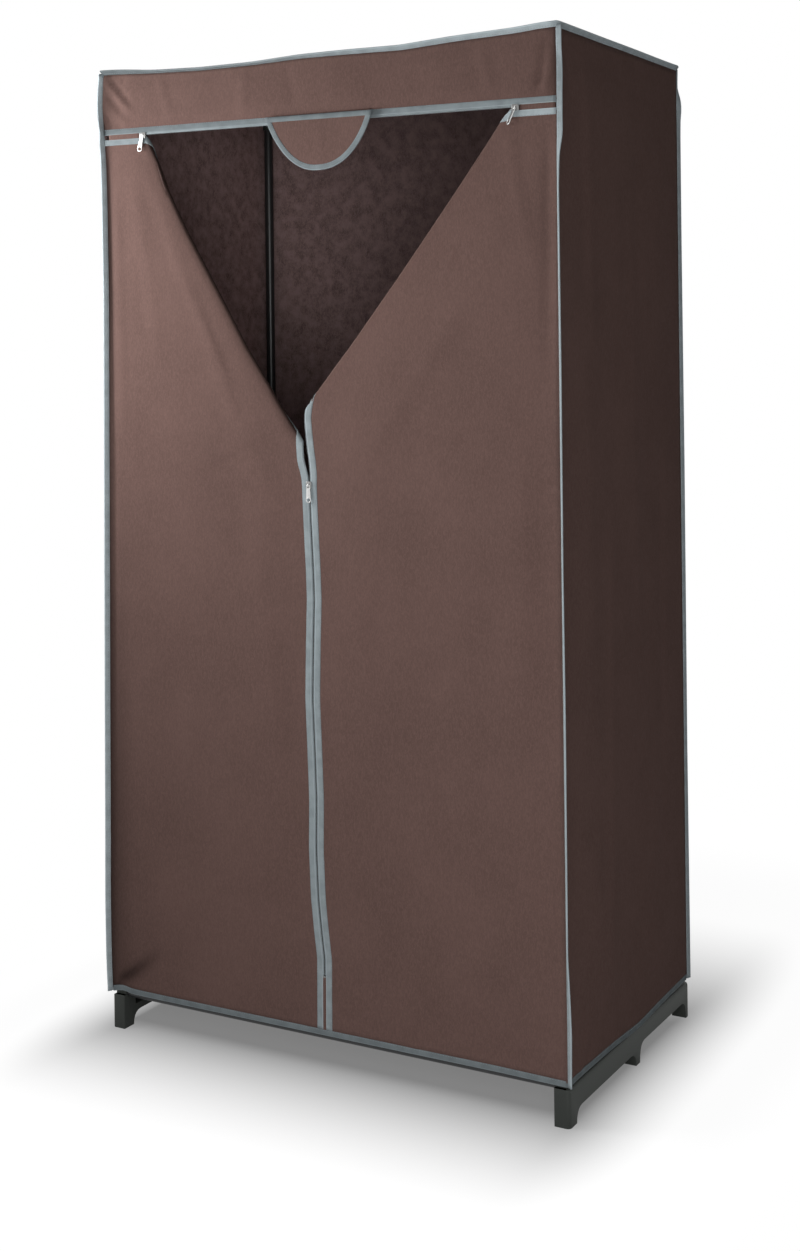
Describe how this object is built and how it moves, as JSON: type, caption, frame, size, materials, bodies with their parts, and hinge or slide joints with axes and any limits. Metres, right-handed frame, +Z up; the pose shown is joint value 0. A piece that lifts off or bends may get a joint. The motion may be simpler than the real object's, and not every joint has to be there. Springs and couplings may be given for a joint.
{
  "type": "portable fabric wardrobe",
  "caption": "Free-standing clothes wardrobe: a tube frame on moulded base rails under a bound cloth cover with zipped front doors, shown with both door corners folded back.",
  "frame": {"origin": "on the floor, at the middle of the footprint", "axes": "+Z up, +X to the right seen from the front, -Y out of the front"},
  "size_m": [0.8434, 0.5056, 1.6007],
  "materials": {
    "cover_cloth": "matt brown nonwoven cloth, slightly mottled",
    "binding_tape": "matt blue-grey folded tape with a fine cross grain",
    "zip_coil": "satin grey coil",
    "zip_metal": "bright plated",
    "frame_tube": "satin black coated steel tube",
    "moulding": "matt black moulded plastic, fine grain"
  },
  "bodies": {
    "cover_and_frame": {"left_side": "cover_cloth", "right_side": "cover_cloth", "back_panel": "cover_cloth", "roof": "cover_cloth", "valance": "cover_cloth", "left_door": "cover_cloth", "right_door": "cover_cloth", "base_shelf": "cover_cloth", "valance_binding": "binding_tape", "left_door_zip_binding": "binding_tape", "left_door_top_binding": "binding_tape", "right_door_zip_binding": "binding_tape", "right_door_top_binding": "binding_tape", "corner_binding_front_left": "binding_tape", "corner_binding_front_right": "binding_tape", "corner_binding_back_left": "binding_tape", "corner_binding_back_right": "binding_tape", "top_binding": "binding_tape", "hem_binding": "binding_tape", "top_zip": "zip_coil", "centre_zip": "zip_coil", "corner_connector_front_left": "moulding", "corner_connector_front_right": "moulding", "corner_connector_back_left": "moulding", "corner_connector_back_right": "moulding", "rail_tee_left": "moulding", "rail_tee_right": "moulding", "base_rail_left": "moulding", "base_rail_right": "moulding", "top_side_tube_front_left": "frame_tube", "top_side_tube_front_right": "frame_tube", "top_side_tube_back_left": "frame_tube", "top_side_tube_back_right": "frame_tube", "top_tube_front": "frame_tube", "top_tube_back": "frame_tube", "hanging_rail": "frame_tube", "upright_lower_front_left": "frame_tube", "upright_lower_front_right": "frame_tube", "upright_lower_back_left": "frame_tube", "upright_lower_back_right": "frame_tube", "upright_upper_front_left": "frame_tube", "upright_upper_front_right": "frame_tube", "upright_upper_back_left": "frame_tube", "upright_upper_back_right": "frame_tube", "base_tube_front": "frame_tube", "base_tube_middle": "frame_tube", "base_tube_back": "frame_tube"},
    "left_corner": {"left_flap": "cover_cloth", "left_flap_binding": "binding_tape"},
    "right_corner": {"right_flap": "cover_cloth", "right_flap_binding": "binding_tape"},
    "tab": {"tab": "cover_cloth", "tab_binding": "binding_tape"},
    "centre_slider": {"centre_slider": "zip_metal"},
    "centre_pull": {"centre_pull": "zip_metal"},
    "left_slider": {"left_slider": "zip_metal"},
    "left_pull": {"left_pull": "zip_metal"},
    "right_slider": {"right_slider": "zip_metal"},
    "right_pull": {"right_pull": "zip_metal"}
  },
  "joints": [
    {"name": "left_corner_fold", "type": "hinge", "parent": "cover_and_frame", "child": "left_corner", "pos_m": [-0.325, -0.2444, 1.48713], "axis": [0.5116, 0, -0.8592], "range_deg": [0, 130]},
    {"name": "right_corner_fold", "type": "hinge", "parent": "cover_and_frame", "child": "right_corner", "pos_m": [0.341, -0.2444, 1.48071], "axis": [0.6323, 0, 0.7747], "range_deg": [0, 140]},
    {"name": "tab_lift", "type": "hinge", "parent": "cover_and_frame", "child": "tab", "pos_m": [0.012, -0.2466, 1.49348], "axis": [-1, 0, 0], "range_deg": [0, 100]},
    {"name": "centre_slider_travel", "type": "slide", "parent": "cover_and_frame", "child": "centre_slider", "axis": [-0.0233, 0, 0.9997], "range_m": [-0.755, 0.522]},
    {"name": "centre_pull_swing", "type": "hinge", "parent": "centre_slider", "child": "centre_pull", "pos_m": [-0.01584, -0.2481, 0.918], "axis": [-1, 0, 0], "range_deg": [0, 150]},
    {"name": "left_slider_travel", "type": "slide", "parent": "cover_and_frame", "child": "left_slider", "axis": [1, 0, -0.0096], "range_m": [0, 0.2875]},
    {"name": "left_pull_swing", "type": "hinge", "parent": "left_slider", "child": "left_pull", "pos_m": [-0.3325, -0.2481, 1.4872], "axis": [-0.9744, 0, 0.225], "range_deg": [0, 100]},
    {"name": "right_slider_travel", "type": "slide", "parent": "cover_and_frame", "child": "right_slider", "axis": [-1, 0, 0.0096], "range_m": [0, 0.3615]},
    {"name": "right_pull_swing", "type": "hinge", "parent": "right_slider", "child": "right_pull", "pos_m": [0.3485, -0.2481, 1.48064], "axis": [-0.9272, 0, 0.3746], "range_deg": [0, 100]}
  ]
}
